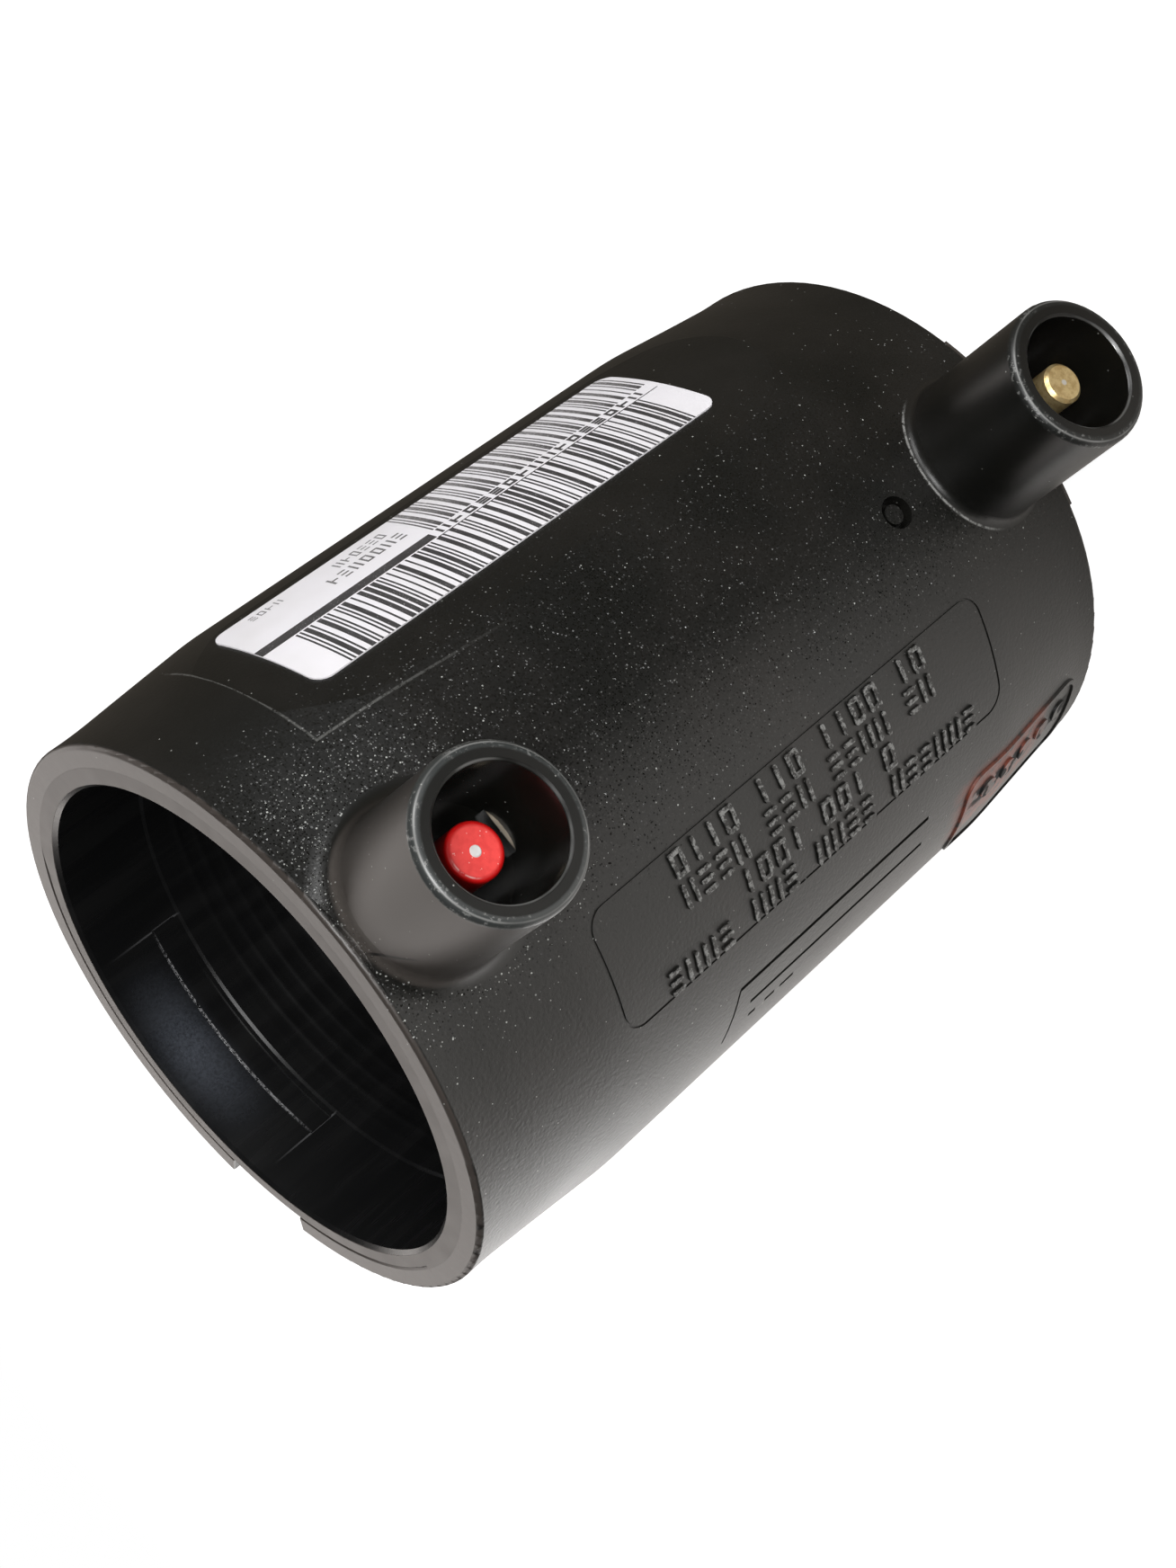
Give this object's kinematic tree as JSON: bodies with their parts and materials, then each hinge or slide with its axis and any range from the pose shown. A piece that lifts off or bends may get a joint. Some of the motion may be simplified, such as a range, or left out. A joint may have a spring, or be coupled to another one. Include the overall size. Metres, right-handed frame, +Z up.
{
  "type": "electrofusion coupler",
  "caption": "Electrofusion coupler that joins 50 mm polyethylene pipe end to end: a black sleeve with a built-in heating wire, shrouded terminals and a barcode label.",
  "frame": {"origin": "on the bore axis, at the lower end face, which is the end away from the red terminal", "axes": "+Z up the bore towards the red terminal's end, and both terminals point to -Y"},
  "size_m": [0.0618, 0.0774, 0.091],
  "materials": {
    "body_plastic": "spark-eroded moulded polyethylene",
    "sleeve_plastic": "smooth moulded polyethylene",
    "wire": "drawn resistance wire",
    "terminal_brass": "turned",
    "collar_plastic": "moulded, satin",
    "resistor_ceramic": "matt",
    "stud_metal": "tinned",
    "label_paper": "printed adhesive label"
  },
  "bodies": {
    "root": {"outer_body": "body_plastic", "inner_sleeve": "sleeve_plastic", "heating_wire": "wire", "lower_terminal_pin": "terminal_brass", "upper_terminal_pin": "terminal_brass", "red_collar": "collar_plastic", "ident_resistor": "resistor_ceramic", "contact_stud": "stud_metal", "barcode_label": "label_paper"}
  },
  "joints": []
}
